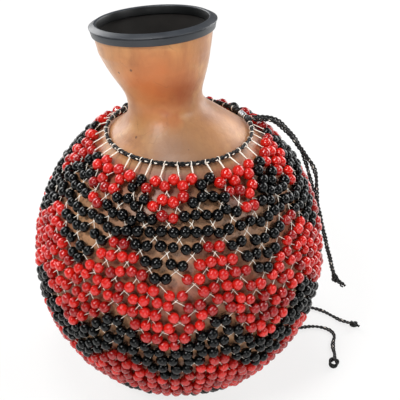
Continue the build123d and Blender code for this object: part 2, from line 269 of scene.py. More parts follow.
class FaceStore:
    def __init__(self):
        self.points, self.faces, self.kinds, self.count = [], [], [], 0

    def add(self, points, faces, kind=0):
        self.faces += [tuple(index + self.count for index in face) for face in faces]
        self.kinds += [kind] * len(faces)
        self.points.append(points)
        self.count += len(points)

    def piece(self, name, materials):
        return meshPiece(name, np.concatenate(self.points), self.faces, materials, self.kinds)


# Three black strands cross over each other, and a white core thread shows through at intervals
plait = {
    "strands": 3, "step": 0.75, "sides": 7, "coreSides": 5, "coreEvery": 7.2, "patchRate": 1.7,
    "loosenEvery": 23.0, "splayLength": 5, "splayWidth": 1.2,
}
ringPlait = {
    "strandRadius": 0.83, "width": 1.07, "height": 0.46, "pitch": 11.0, "loosen": 0.14,
    "coreRadius": 0.46, "coreRise": 1.29, "core": 1.0,
}
tailPlait = {
    "strandRadius": 0.7, "width": 1.14, "height": 0.45, "pitch": 11.5, "loosen": 0.3,
    "coreRadius": 0.38, "coreRise": 0.95, "core": 0.25,
}


def addPlait(store, line, look, start=0.0, firstAcross=None, splay=0.0):
    line, along = evenly(line, plait["step"])
    across, over = lineFrame(line, firstAcross)
    loose = 1 + look["loosen"] * np.sin((along + start) / plait["loosenEvery"] * 2 * pi)
    ending = np.clip((along - along[-1] + plait["splayLength"]) / plait["splayLength"], 0, 1) * splay
    for strand in range(plait["strands"]):
        phase = (along + start) / look["pitch"] * 2 * pi + strand * 2 * pi / plait["strands"]
        wide = look["width"] * loose * np.sin(phase) + ending * (strand - 1) * plait["splayWidth"]
        high = look["height"] * np.sin(2 * phase)
        path = line + across * wide[:, None] + over * high[:, None]
        store.add(*tubeFaces(path, look["strandRadius"], plait["sides"], firstAcross))
    if not splay:
        wave = np.cos((along + start) / plait["coreEvery"] * 2 * pi)
        patch = np.sin((along + 3 * start) / plait["coreEvery"] * plait["patchRate"]) < 2 * look["core"] - 1
        rise = look["coreRise"] * np.clip(wave, 0, 1) ** 2 * patch
        path = line + over * rise[:, None]
        store.add(*tubeFaces(path, look["coreRadius"], plait["coreSides"], firstAcross), kind=1)
    return line


# An overhand knot: one closed tube that passes through itself three times, round a hole where it is loose
overhand = {"steps": 54, "sides": 8, "notAlong": (0.31, 0.22, 0.93)}


def addOverhand(store, centre, axis, width, length, hole=-1.2, tube=1.28):
    turn = np.arange(overhand["steps"]) / overhand["steps"] * 2 * pi
    ring = (width + hole) / 4 + ((width - hole) / 4 - tube) * np.cos(3 * turn)
    tall = length / 2 - tube
    local = np.stack([ring * np.sin(2 * turn), ring * np.cos(2 * turn), -tall * np.sin(3 * turn)], 1)
    axis = unit(np.asarray(axis, float))
    across = unit(np.cross(axis, overhand["notAlong"]))
    turned = local @ np.stack([across, np.cross(axis, across), axis])
    path = np.asarray(centre, float) + np.r_[turned, turned[:2]]
    store.add(*tubeFaces(path, tube, overhand["sides"]))


# Loose tails of the two cords, along the routes of their solids
tailCord = {
    "diameter": 3.0, "knotGap": 0.3, "knotLength": 7.6, "knotWidth": 6.6, "endStart": 3.2,
    "ringWidth": 10.4, "ringHole": 2.4, "ringTube": 1.0, "ringLength": 5.0, "ringAxis": (0.05, -0.8, 0.6),
}
tails = {
    "neck_tail_front": {
        "route": [
            (56.74, 13.49, 222.93), (64.0, 14.2, 223.2), (72.6, 16.6, 220.4), (82.8, 17.0, 212.4),
            (92.6, 17.4, 199.4), (99.6, 17.6, 190.8), (106.6, 18.0, 181.2), (111.0, 18.4, 170.6),
            (112.2, 18.6, 157.0), (114.8, 18.5, 143.0), (119.0, 18.4, 128.0), (124.4, 18.4, 110.4),
            (130.4, 18.3, 91.0), (137.4, 19.2, 69.0),
        ],
        "end": (0.75, -0.1, -0.65), "endLength": 9.0, "length": 185.0,
        "lay": "hanging", "phase": 2.0, "across": (0, 0, 1),
    },
    "neck_tail_back": {
        "route": [
            (55.88, 16.68, 222.93), (63.2, 18.4, 223.3), (72.0, 20.6, 221.0), (82.3, 22.6, 213.4),
            (92.6, 25.0, 199.6), (100.6, 26.6, 184.6), (106.6, 28.4, 166.6), (111.6, 30.4, 151.0),
            (116.4, 29.2, 136.4), (120.8, 27.4, 122.4), (126.3, 27.1, 104.4), (132.3, 27.2, 84.5),
            (139.3, 28.1, 62.5),
        ],
        "end": (0.72, 0.12, -0.68), "endLength": 9.0, "length": 192.2,
        "lay": "hanging", "phase": 6.5, "across": (0, 0, 1),
    },
    "base_tail_back": {
        "route": [
            (47.83, 24.13, 4.5), (56.0, 29.2, 4.2), (66.6, 34.4, 2.4), (79.0, 40.6, 1.6), (92.4, 47.6, 1.6),
            (106.0, 53.4, 1.6), (118.6, 55.8, 1.6), (130.2, 54.2, 1.6), (140.0, 49.2, 1.6), (147.6, 41.8, 1.6),
            (155.0, 34.8, 1.6), (161.8, 29.8, 3.4),
        ],
        "end": (0.8, -0.6, 0.0), "endLength": 2.4, "length": 130.0,
        "lay": "loose", "phase": 0.5, "across": (0, 1, 0),
    },
    "base_tail_front": {
        "route": [
            (49.23, 21.14, 4.5), (58.4, 22.2, 4.2), (68.8, 21.0, 2.4), (81.0, 20.4, 1.6), (93.6, 20.8, 1.6),
            (105.4, 22.6, 1.6), (116.2, 25.6, 1.6), (126.6, 27.2, 1.6), (136.2, 25.4, 1.6), (143.4, 20.6, 1.6),
            (145.2, 13.2, 1.6), (142.2, 5.6, 1.6), (140.6, -3.4, 1.6), (141.4, -12.2, 1.6), (138.8, -20.6, 3.4),
        ],
        "end": None, "length": 138.4, "lay": "loose", "phase": 4.0, "across": (0, 1, 0),
    },
}
for name, tail in tails.items():
    line = routeLine(name, tail["route"])
    store = FaceStore()
    path = addPlait(store, line, tailPlait, tail["phase"], tail["across"])
    cord = seat(store.piece(name + "Plait", [cordNylon, threadCotton]), "bead_net", "black_cord", name)
    knotStore = FaceStore()
    direction = unit(line[-1] - line[-2])
    centre = line[-1] + direction * (tailCord["knotGap"] + tailCord["knotLength"] / 2)
    if tail["end"]:
        addOverhand(knotStore, centre, direction, tailCord["knotWidth"], tailCord["knotLength"])
        free = unit(np.array(tail["end"]))
        reaches = tailCord["endStart"] + np.array([0, 0.5, 1]) * tail["endLength"]
        addPlait(knotStore, centre + free * reaches[:, None], tailPlait, tail["phase"], splay=1.0)
    else:
        addOverhand(knotStore, centre, tailCord["ringAxis"], tailCord["ringWidth"], tailCord["ringLength"],
                    tailCord["ringHole"], tailCord["ringTube"])
    knot = seat(knotStore.piece(name + "Knot", [cordNylon]), "bead_net", "black_cord", name + "_knot")
print("cord tails made")

# Gourd outline: two arcs that meet upright at the belly, then the round sections of the leaning neck
gourd = {
    "baseRadius": 30.0, "bellyRadius": 109.2, "bellyHeight": 110.0,
    "shoulderRadius": 46.1, "shoulderHeight": 224.5, "wall": 5.0,
    "neck": [(7.98, -2.3, 37.2), (18.0, -8.3, 29.32), (28.98, -11.69, 28.8), (43.02, -14.3, 34.8)],
    "neckBackShare": 0.27, "tiltStarts": 24.0, "tiltLeft": 3.9, "tiltBack": 5.7,
    "collar": (59.5, -17.1, 40.0), "collarLength": 17.0, "mouthRadius": 42.9, "mouthWall": 2.4,
    "sides": 160, "bodyLumps": 0.35, "neckLumps": 0.7, "lumpSpan": (10, 282),
    "lumpScale": 0.032, "fineScale": 0.085, "fineShare": 0.45,
    "neckFrom": 226, "neckFade": 14, "mouthFrom": 214, "mouthFade": 12,
}
shoulderRise = gourd["shoulderHeight"] - gourd["bellyHeight"]
shoulderInset = gourd["bellyRadius"] - gourd["shoulderRadius"]
upperArc = (shoulderRise ** 2 + shoulderInset ** 2) / (2 * shoulderInset)
baseInset = gourd["bellyRadius"] - gourd["baseRadius"]
lowerArc = (gourd["bellyHeight"] ** 2 + baseInset ** 2) / (2 * baseInset)
upperCentre = gourd["bellyRadius"] - upperArc
lowerCentre = gourd["bellyRadius"] - lowerArc
collarFlare = (gourd["mouthRadius"] - gourd["collar"][2]) / gourd["collarLength"]


def outlinePoint(arc, lift):
    radius = lift + (upperArc if arc > 0 else lowerArc)
    centre = upperCentre if arc > 0 else lowerCentre
    return centre + radius * cos(arc / radius), gourd["bellyHeight"] + radius * sin(arc / radius)


# Values of a smooth curve through given stations, with free ends
def throughStations(stations, values, at):
    stations, values = np.asarray(stations, float), np.asarray(values, float)
    gap = np.diff(stations)
    count = len(stations)
    system, right = np.eye(count), np.zeros(count)
    for i in range(1, count - 1):
        system[i, i - 1:i + 2] = gap[i - 1], 2 * (gap[i - 1] + gap[i]), gap[i]
        right[i] = 6 * ((values[i + 1] - values[i]) / gap[i] - (values[i] - values[i - 1]) / gap[i - 1])
    bend = np.linalg.solve(system, right)
    i = np.clip(np.searchsorted(stations, at, side="right") - 1, 0, count - 2)
    before, after = (stations[i + 1] - at) / gap[i], (at - stations[i]) / gap[i]
    straight = before * values[i] + after * values[i + 1]
    return straight + ((before ** 3 - before) * bend[i] + (after ** 3 - after) * bend[i + 1]) * gap[i] ** 2 / 6


def neckRing(rise):
    sections = [(0.0, 0.0, gourd["shoulderRadius"]), *gourd["neck"], gourd["collar"]]
    stations, shifts, radii = zip(*sections)
    top = gourd["collar"][0]
    inCollar = max(0.0, rise - top)
    shift = float(throughStations(stations, shifts, min(rise, top)))
    radius = float(throughStations(stations, radii, min(rise, top))) + collarFlare * inCollar
    share = max(0.0, (min(rise, top) - gourd["tiltStarts"]) / (top - gourd["tiltStarts"]))
    leanLeft = sin(radians(gourd["tiltLeft"])) * share
    leanBack = sin(radians(gourd["tiltBack"])) * share
    axis = unit(np.array((-leanLeft, leanBack, 1.0)))
    centre = np.array((shift, -shift * gourd["neckBackShare"], gourd["shoulderHeight"] + min(rise, top)))
    return centre + axis * inCollar, axis, radius


def ringPoints(centre, axis, radius, sides):
    right = unit(np.array((1.0, 0.0, 0.0)) - axis * axis[0])
    deep = np.cross(axis, right)
    turn = np.arange(sides) / sides * 2 * pi
    return centre + radius * (np.cos(turn)[:, None] * right + np.sin(turn)[:, None] * deep)


lowestArc = -lowerArc * asin(gourd["bellyHeight"] / lowerArc)
highestArc = upperArc * asin(shoulderRise / upperArc)
bodyArcs = np.linspace(lowestArc, highestArc, 90)
up = np.array((0.0, 0.0, 1.0))
neckTop = gourd["collar"][0] + gourd["collarLength"]
outerRings = [(np.zeros(3), up, share * gourd["baseRadius"]) for share in (0.03, 0.3, 0.6, 0.9)]
for arc in bodyArcs[:-1]:
    radius, height = outlinePoint(arc, 0)
    outerRings.append((np.array((0.0, 0.0, height)), up, radius))
outerRings += [neckRing(rise) for rise in np.linspace(0, neckTop, 64)]
innerRings = []
for rise in np.linspace(neckTop, 2, 40):
    centre, axis, radius = neckRing(rise)
    thick = np.interp(rise, (20, gourd["collar"][0]), (gourd["wall"] + 1, gourd["mouthWall"]))
    innerRings.append((centre, axis, radius - thick))
for arc in np.linspace(bodyArcs[-1] - 2, bodyArcs[0] + 8, 40):
    radius, height = outlinePoint(arc, -gourd["wall"])
    innerRings.append((np.array((0.0, 0.0, height)), up, radius))
for share in (0.7, 0.03):
    innerRings.append((np.array((0.0, 0.0, gourd["wall"])), up, share * gourd["baseRadius"]))

sides = gourd["sides"]
shellRings = []
for centre, axis, radius in outerRings + innerRings:
    ring = ringPoints(centre, axis, radius, sides)
    aboveShoulder = np.clip((centre[2] - gourd["neckFrom"]) / gourd["neckFade"], 0, 1)
    belowMouth = np.clip((neckTop + gourd["mouthFrom"] - centre[2]) / gourd["mouthFade"], 0, 1)
    onNeck = float(aboveShoulder * belowMouth)
    offAxis = unit(ring - centre)
    for k in range(sides):
        spot = Vector(ring[k])
        fineLump = gourd["fineShare"] * noise.noise(spot * gourd["fineScale"])
        lump = noise.noise(spot * gourd["lumpScale"]) + fineLump
        dent = gourd["neckLumps"] * onNeck * lump - gourd["bodyLumps"] * (1 - onNeck) * abs(lump)
        if gourd["lumpSpan"][0] < centre[2] < gourd["lumpSpan"][1]:
            ring[k] = ring[k] + offAxis[k] * dent
    shellRings.append(ring)
shellPoints = np.concatenate(shellRings)
ringCount = len(shellRings)
shellFaces = ringFaces(ringCount, sides) + endFaces(ringCount, sides)

# Dried calabash rind: scraped and waxed, tan with amber mottling, red-brown where hands held the waist
rindLook = {
    "shoulder": (0.004, -0.050, 0.219), "ragged": 0.022, "crackBend": 0.012, "noiseMean": (0.5, 0.5, 0.5),
    "handPatches": [
        {"place": (-0.014, -0.034, 0.270), "reach": (0.008, 0.036), "most": 1.7, "tone": "#c46f38"},
        {"place": (0.003, -0.034, 0.259), "reach": (0.003, 0.021), "most": 1.5, "tone": "#93401f"},
    ],
}
rind, tree = newMaterial("waxed calabash rind")
place = objectPlace(tree)
cloud = addNoise(tree, place, 46, 5.0, Roughness=0.55)["Fac"]
tall = addNode(tree, "ShaderNodeMapping", {"Vector": place, "Scale": (1.0, 1.0, 0.28)}).outputs["Vector"]
streak = addNoise(tree, tall, 11, 6.0, Roughness=0.62)["Fac"]
blotch = addNoise(tree, place, 17, 3.0, Distortion=0.6)
blotchMask = remap(tree, blotch["Fac"], (0.52, 0.75), (0.0, 0.5))
tone = addRamp(tree, cloud, (0.33, "#9a6039"), (0.68, "#cd9259"))
tone = mixTones(tree, remap(tree, streak, (0.46, 0.72), (0.0, 0.6)), tone, "#855234")
tone = mixTones(tree, blotchMask, tone, "#d8a86e")

# Darker grey-brown on the front of the shoulder: painted shade that tones down the light there
fromShadedShoulder = distanceFrom(tree, place, rindLook["shoulder"])
tone = mixTones(tree, remap(tree, fromShadedShoulder, (0.014, 0.058), (0.85, 0.0)), tone, "#7c5a40")
# Paler pinkish tan lower down, under the net: partly the skin's own tone, partly painted light that lifts the
# shade of the beads
height = addNode(tree, "ShaderNodeSeparateXYZ", {0: place}).outputs["Z"]
tone = mixTones(tree, remap(tree, height, (0.190, 0.216), (0.5, 0.0)), tone, "#bd9478")

# Uneven patches where it was held, their places bent by the blotches
ragged = bendPlace(tree, place, blotch["Color"], rindLook["ragged"])
for patch in rindLook["handPatches"]:
    middle = Vector(patch["place"]).lerp(Vector(rindLook["noiseMean"]), rindLook["ragged"])
    patchMask = remap(tree, distanceFrom(tree, ragged, middle), patch["reach"], (patch["most"], 0.0))
    tone = mixTones(tree, calculate(tree, "MULTIPLY", patchMask, cloud, use_clamp=True), tone, patch["tone"])

# Dark specks and fine cracks
speck = addNode(tree, "ShaderNodeTexVoronoi", {"Vector": place, "Scale": perMetre(9.0), "Randomness": 1.0})
speckEdge = remap(tree, addNoise(tree, place, 24, 1.0)["Fac"], (0.5, 0.75), (0.0, 0.13))
isSpeck = calculate(tree, "LESS_THAN", speck.outputs["Distance"], speckEdge)
bent = bendPlace(tree, place, blotch["Color"], rindLook["crackBend"])
crack = addNode(tree, "ShaderNodeTexVoronoi", {
    "Vector": bent, "Scale": perMetre(21)}, feature="DISTANCE_TO_EDGE")
crackLine = remap(tree, crack.outputs["Distance"], (0.006, 0.022), (0.55, 0.0))
crackShare = calculate(tree, "MULTIPLY", crackLine, blotchMask)
markShare = calculate(tree, "MAXIMUM", calculate(tree, "MULTIPLY", isSpeck, 0.7), crackShare)
tone = mixTones(tree, markShare, tone, "#4a2a1c")

# Red light behind the beads, and the black inside
tone = mixTones(tree, addMark(tree, "redCast"), tone, "#8a2a22")
insideMark = addMark(tree, "inside")
tone = mixTones(tree, insideMark, tone, mixTones(tree, blotch["Fac"], "#0b0a09", "#26221f"))
outsideRough = remap(tree, streak, (0.0, 1.0), (0.34, 0.56))
pores = addNoise(tree, place, 2.4, 4.0)["Fac"]
relief = calculate(tree, "MULTIPLY_ADD", streak, 1.6, pores)
addShader(tree, {
    "Base Color": tone, "Roughness": calculate(tree, "MAXIMUM", outsideRough, insideMark), "IOR": 1.48,
    "Coat Weight": 0.12, "Coat Roughness": 0.3, "Sheen Weight": 0.22, "Sheen Roughness": 0.35,
    "Normal": addBump(tree, relief, 0.22, 0.0008)})

shell = meshPiece("gourd", shellPoints, shellFaces, [rind])


# Marks the points that face inwards, for the materials
def markInside(piece, marks):
    inside = piece.data.attributes.new("inside", "FLOAT", "POINT")
    inside.data.foreach_set("value", np.asarray(marks, np.float32))


markInside(shell, np.arange(len(shellPoints)) >= len(outerRings) * sides)
seat(shell, "gourd", "gourd", "gourd_shell")
print("gourd made")

# Rim trim: a rubber channel pushed over the mouth, with a sloped lip, a groove under it and a plain skirt
trim = {
    "gap": 0.1, "skirt": 1.4, "skirtDrop": 5.7, "overhang": 0.6, "slope": 2.2, "groove": 0.5,
    "grooveAt": (2.4, 1.6, 1.2), "top": 2.4, "lipRun": 1.4, "lipDrop": 0.6, "leg": 1.0, "legDrop": 4.0,
    "round": 0.45, "sides": 144, "insideFrom": 30,
}
rubber, tree = newMaterial("moulded black rubber")  # satin moulded skin, greyed a little by bloom and dust
place = objectPlace(tree)
bloom = addNoise(tree, place, 12, 5.0)["Fac"]
grain = addNoise(tree, place, 0.9, 2.0)["Fac"]
outsideTone = mixTones(tree, bloom, "#1b1e23", "#31363d")
# The inner leg inside the mouth is near black: painted shade
addShader(tree, {
    "Base Color": mixTones(tree, addMark(tree, "inside"), outsideTone, "#07090a"),
    "Roughness": remap(tree, bloom, (0.0, 1.0), (0.3, 0.5)), "IOR": 1.52,
    "Normal": addBump(tree, grain, 0.12, 0.0003)})


# Rounds each corner of a closed outline with a few points
def roundedOutline(corners, radius, points=4):
    corners = [np.array(corner, float) for corner in corners]
    outline = []
    for before, here, after in zip(corners[-1:] + corners[:-1], corners, corners[1:] + corners[:1]):
        reach = min(radius, 0.45 * np.linalg.norm(before - here), 0.45 * np.linalg.norm(after - here))
        start = here + unit(before - here) * reach
        end = here + unit(after - here) * reach
        for t in np.linspace(0, 1, points):
            outline.append((1 - t) ** 2 * start + 2 * t * (1 - t) * here + t ** 2 * end)
    return np.array(outline)


# A ring whose section is a closed outline
def outlineRing(name, centre, axis, outline, sides, material):
    rings = [ringPoints(centre + axis * high, axis, wide, sides) for wide, high in outline]
    count = len(rings) * sides
    faces = [tuple(index % count for index in face) for face in ringFaces(len(rings) + 1, sides)]
    return meshPiece(name, np.concatenate(rings), faces, [material])


mouthCentre, mouthAxis, _ = neckRing(neckTop)
skirtInside = gourd["mouthRadius"] + trim["gap"]
skirtOutside = skirtInside + trim["skirt"]
lipEdge = skirtOutside + trim["overhang"]
legOutside = gourd["mouthRadius"] - gourd["mouthWall"] - trim["gap"]
legInside = legOutside - trim["leg"]
lipHeight = trim["top"] - trim["slope"]
grooveLow, grooveDeep, grooveHigh = [lipHeight - share * trim["groove"] for share in trim["grooveAt"]]
trimOutline = roundedOutline([
    (skirtInside - collarFlare * trim["skirtDrop"], -trim["skirtDrop"]),
    (skirtOutside - collarFlare * trim["skirtDrop"], -trim["skirtDrop"]),
    (skirtOutside, grooveLow),
    (skirtOutside - trim["groove"], grooveDeep),
    (lipEdge, grooveHigh),
    (lipEdge, lipHeight),
    (legInside + trim["lipRun"], trim["top"]),
    (legInside, trim["top"] - trim["lipDrop"]),
    (legInside - collarFlare * trim["legDrop"], -trim["legDrop"]),
    (legOutside - collarFlare * trim["legDrop"], -trim["legDrop"]),
    (legOutside, trim["gap"]),
    (skirtInside, trim["gap"]),
], trim["round"])
trimPiece = outlineRing("rimTrim", mouthCentre, mouthAxis, trimOutline, trim["sides"], rubber)
trimRing = np.arange(len(trimPiece.data.vertices)) // trim["sides"]
markInside(trimPiece, trimRing > trim["insideFrom"])
seat(trimPiece, "gourd", "rim_rubber", "rim_trim")
print("rim trim made")

# Bead net: every strand is as long as the next, beads sit in pairs above the knot that ties them
net = {
    "columns": 36, "rows": 22, "beadDiameter": 6.5, "beadGap": 0.2, "threadDiameter": 0.6,
    "threadLook": 0.52, "threadInBead": 2.8, "threadSides": 5, "knotRaise": 1.3,
    "beadLook": 8.3, "pile": 4.0, "cast": 0.6, "castReach": 7.0, "castBelow": 8, "castFaint": 0.05,
    "castChunks": 40, "strandLength": 13.098, "firstRowArc": 109.872, "clearance": 0.5, "apexAzimuth": 15.0,
    "zigzagColumns": 4, "zigzagRows": 10, "zigzagSlope": 2, "blackBand": 4,
    "knotSway": 1.1, "swayMost": 2.0, "sag": 4.6, "sagSize": 30.0, "beadSway": 1.2, "shareSway": 0.02,
    "axisSway": 0.16, "near": 2.2, "touch": 0.94, "relaxRounds": 80, "relaxStep": 0.7, "homePull": 0.02,
    "seed": 11, "sagSeed": 1795815477,
}
netLift = net["clearance"] + net["beadDiameter"] / 2
halfColumn = 180 / net["columns"]


def netPoint(arc, azimuth):
    radius, height = outlinePoint(arc, netLift)
    return outward(azimuth) * radius + up * height


def nextRowArc(arc, way):
    near, far = 0.0, net["strandLength"]
    for _ in range(50):
        step = (near + far) / 2
        span = netPoint(arc, 0) - netPoint(arc + way * step, halfColumn)
        if np.linalg.norm(span) > net["strandLength"]:
            far = step
        else:
            near = step
    return arc + way * near


rowArcs = [nextRowArc(net["firstRowArc"], 1), net["firstRowArc"]]
while len(rowArcs) <= net["rows"]:
    rowArcs.append(nextRowArc(rowArcs[-1], -1))


def rowAzimuths(row):
    start = net["apexAzimuth"] + (0 if row % 2 else halfColumn)
    return start + 2 * halfColumn * np.arange(net["columns"])


def pairShares(row):
    above = outlinePoint(rowArcs[row - 1], netLift)[0] * sin(radians(halfColumn))
    below = outlinePoint(rowArcs[row], netLift)[0] * sin(radians(halfColumn))
    pitch = net["beadDiameter"] + net["beadGap"]
    crowd = pitch / (2 * above) + pitch / (2 * below)
    share = pitch / (2 * above) / max(1.0, crowd)
    stagger = sqrt(max(0.0, pitch ** 2 - (2 * share * above) ** 2))
    rise = sqrt(net["strandLength"] ** 2 - ((above + below) / 2) ** 2)
    spread = stagger / rise
    return share * (1 - spread), share + spread * (1 - share)


def isBlack(row, azimuth):
    column = (azimuth - net["apexAzimuth"]) / (2 * halfColumn)
    half = net["zigzagColumns"] / 2
    fromApex = abs((column + half) % net["zigzagColumns"] - half)
    return (row - 1 - net["zigzagSlope"] * fromApex) % net["zigzagRows"] < net["blackBand"]


# Brings points back to between two lifts off the skin
def ontoNet(points, lowest, highest):
    height = points[:, 2] - gourd["bellyHeight"]
    flat = np.hypot(points[:, 0], points[:, 1])
    centre = np.where(height > 0, upperCentre, lowerCentre)
    skin = np.where(height > 0, upperArc, lowerArc)
    distance = np.hypot(flat - centre, height)
    share = np.clip(distance, skin + lowest, skin + highest) / distance
    newFlat = centre + (flat - centre) * share
    newHeight = gourd["bellyHeight"] + height * share
    return np.stack([points[:, 0] / flat * newFlat, points[:, 1] / flat * newFlat, newHeight], 1)


chance = np.random.default_rng(net["seed"])
knots = np.zeros((net["rows"] + 1, net["columns"], 3))
for row in range(net["rows"] + 1):
    knots[row] = [netPoint(rowArcs[row], azimuth) for azimuth in rowAzimuths(row)]
noise.seed_set(net["sagSeed"])
sway = chance.normal(0, net["knotSway"], knots.shape).clip(-net["swayMost"], net["swayMost"])
sway += [[net["sag"] * noise.noise_vector(Vector(knot) / net["sagSize"]) for knot in row] for row in knots]
knotLift = netLift + net["knotRaise"]
knots = ontoNet((knots + sway).reshape(-1, 3), knotLift, knotLift).reshape(knots.shape)

beadHome, beadBlack, strandLow, strandHigh = [], [], [], []
for row in range(1, net["rows"] + 1):
    shares = pairShares(row)
    for column, azimuth in enumerate(rowAzimuths(row)):
        low = knots[row, column]
        leftColumn = column - 1 if row % 2 else column
        for side in (0, 1):
            high = knots[row - 1, (leftColumn + side) % net["columns"]]
            share = shares[side] + chance.normal(0, net["shareSway"])
            beadHome.append(low + (high - low) * share)
            beadBlack.append(isBlack(row, azimuth))
            strandLow.append(low)
            strandHigh.append(high)
beadHome, beadBlack = np.array(beadHome), np.array(beadBlack)
strandLow, strandHigh = np.array(strandLow), np.array(strandHigh)

# Beads that would overlap push each other along the skin and off it, as they do on the slack threads
beadLift = net["clearance"] + net["beadLook"] / 2
beads = beadHome + chance.normal(0, net["beadSway"], beadHome.shape)
beads = ontoNet(beads, beadLift, beadLift + net["pile"])
apart = np.linalg.norm(beads[:, None] - beads[None], axis=2)
first, second = np.nonzero(np.triu(apart < net["near"] * net["beadLook"], 1))
for _ in range(net["relaxRounds"]):
    between = beads[second] - beads[first]
    distance = np.linalg.norm(between, axis=1)
    push = np.clip(net["beadLook"] * net["touch"] - distance, 0, None) / 2 * net["relaxStep"]
    move = between / distance[:, None] * push[:, None]
    np.add.at(beads, first, -move)
    np.add.at(beads, second, move)
    beads += (beadHome - beads) * net["homePull"]
    beads = ontoNet(beads, beadLift, beadLift + net["pile"])
strandAxis = unit(strandHigh - strandLow)
beadAxis = unit(strandAxis + chance.normal(0, net["axisSway"], beads.shape))

# Light that comes through the red beads tints the skin behind them
castShare = np.zeros(len(shellPoints), np.float32)
nearNet = np.nonzero(shellPoints[:, 2] < gourd["shoulderHeight"] - net["castBelow"])[0]
for chunk in np.array_split(nearNet, net["castChunks"]):
    away = np.linalg.norm(shellPoints[chunk, None] - beads[None], axis=2)
    weight = np.exp(-((away / net["castReach"]) ** 2))
    castShare[chunk] = (weight * ~beadBlack).sum(1) / (weight.sum(1) + net["castFaint"])
castMark = shell.data.attributes.new("redCast", "FLOAT", "POINT")
castMark.data.foreach_set("value", castShare * net["cast"])
print("net laid out,", len(beads), "beads,", int(beadBlack.sum()), "black")


# A node tree with named inputs, and a mesh made from an object by that tree
def newTree(name, inputs):
    tree = bpy.data.node_groups.new(name, "GeometryNodeTree")
    tree.interface.new_socket("Geometry", in_out="INPUT", socket_type="NodeSocketGeometry")
    for inputName, kind in inputs.items():
        tree.interface.new_socket(inputName, in_out="INPUT", socket_type="NodeSocket" + kind)
    tree.interface.new_socket("Geometry", in_out="OUTPUT", socket_type="NodeSocketGeometry")
    return tree, addNode(tree, "NodeGroupInput").outputs


def growPiece(name, points, edges, attributes, tree, values):
    seedMesh = bpy.data.meshes.new(name + "Seed")
    seedMesh.from_pydata((np.asarray(points) * toMetres).tolist(), edges, [])
    for attributeName, data in attributes.items():
        attribute = seedMesh.attributes.new(attributeName, "FLOAT_VECTOR", "POINT")
        attribute.data.foreach_set("vector", np.asarray(data, np.float32).ravel())
    piece = bpy.data.objects.new(name, seedMesh)
    scene.collection.objects.link(piece)
    modifier = piece.modifiers.new(tree.name, "NODES")
    modifier.node_group = tree
    for item in tree.interface.items_tree:
        if item.in_out == "INPUT" and item.name in values:
            modifier[item.identifier] = values[item.name]
    bpy.context.view_layer.update()
    evaluated = piece.evaluated_get(bpy.context.evaluated_depsgraph_get())
    mesh = bpy.data.meshes.new_from_object(evaluated)
    piece.modifiers.clear()
    piece.data = mesh
    mesh.name = name
    bpy.data.meshes.remove(seedMesh)
    return piece


def aimAlong(tree, attribute):
    axis = addNode(tree, "GeometryNodeInputNamedAttribute", {"Name": attribute}, data_type="FLOAT_VECTOR")
    aim = addNode(tree, "FunctionNodeAlignRotationToVector", {"Vector": axis.outputs["Attribute"]}, axis="Z")
    return aim.outputs["Rotation"]


def finishTree(tree, geometry, material):
    real = addNode(tree, "GeometryNodeRealizeInstances", {"Geometry": geometry})
    smooth = addNode(tree, "GeometryNodeSetShadeSmooth", {"Geometry": real.outputs["Geometry"]})
    coloured = addNode(tree, "GeometryNodeSetMaterial", {
        "Geometry": smooth.outputs["Geometry"], "Material": material})
    addNode(tree, "NodeGroupOutput", {"Geometry": coloured.outputs["Geometry"]})


# Beads: a ball drawn out a little along its thread, with a dimpled hole at both ends
beadTree, given = newTree("strung beads", {
    "Diameter": "Float", "Stretch": "Float", "Hole depth": "Float", "Segments": "Int", "Rings": "Int",
    "Seed": "Int", "Material": "Material"})
beadRadius = calculate(beadTree, "MULTIPLY", given["Diameter"], 0.5)
ball = addNode(beadTree, "GeometryNodeMeshUVSphere", {
    "Segments": given["Segments"], "Rings": given["Rings"], "Radius": beadRadius})
ballPlace = addNode(beadTree, "GeometryNodeInputPosition").outputs["Position"]
alongHole = addNode(beadTree, "ShaderNodeSeparateXYZ", {0: ballPlace}).outputs["Z"]
poleReach = calculate(beadTree, "MULTIPLY", beadRadius, 0.98)
isPole = calculate(beadTree, "GREATER_THAN", calculate(beadTree, "ABSOLUTE", alongHole), poleReach)
poleDrop = calculate(beadTree, "MULTIPLY", isPole, given["Hole depth"])
poleMove = calculate(beadTree, "MULTIPLY", poleDrop, calculate(beadTree, "SIGN", alongHole))
poleBack = calculate(beadTree, "MULTIPLY", poleMove, -1.0)
poleOffset = addNode(beadTree, "ShaderNodeCombineXYZ", {"Z": poleBack})
dimpled = addNode(beadTree, "GeometryNodeSetPosition", {
    "Geometry": ball.outputs["Mesh"], "Offset": poleOffset.outputs["Vector"]})
drawnOut = addNode(beadTree, "ShaderNodeCombineXYZ", {"X": 1.0, "Y": 1.0, "Z": given["Stretch"]})
shaped = addNode(beadTree, "GeometryNodeTransform", {
    "Geometry": dimpled.outputs["Geometry"], "Scale": drawnOut.outputs["Vector"]})
beadSize = addNode(beadTree, "FunctionNodeRandomValue", {
    2: 0.92, 3: 1.05, "Seed": given["Seed"]}, data_type="FLOAT")
placed = addNode(beadTree, "GeometryNodeInstanceOnPoints", {
    "Points": given["Geometry"], "Instance": shaped.outputs["Geometry"],
    "Rotation": aimAlong(beadTree, "axis"), "Scale": beadSize.outputs[1]})
tint = addNode(beadTree, "FunctionNodeRandomValue", {2: 0.0, 3: 1.0, "Seed": 5}, data_type="FLOAT")
tinted = addNode(beadTree, "GeometryNodeStoreNamedAttribute", {
    "Geometry": placed.outputs["Instances"], "Name": "tint", "Value": tint.outputs[1]},
    data_type="FLOAT", domain="INSTANCE")
finishTree(beadTree, tinted.outputs["Geometry"], given["Material"])

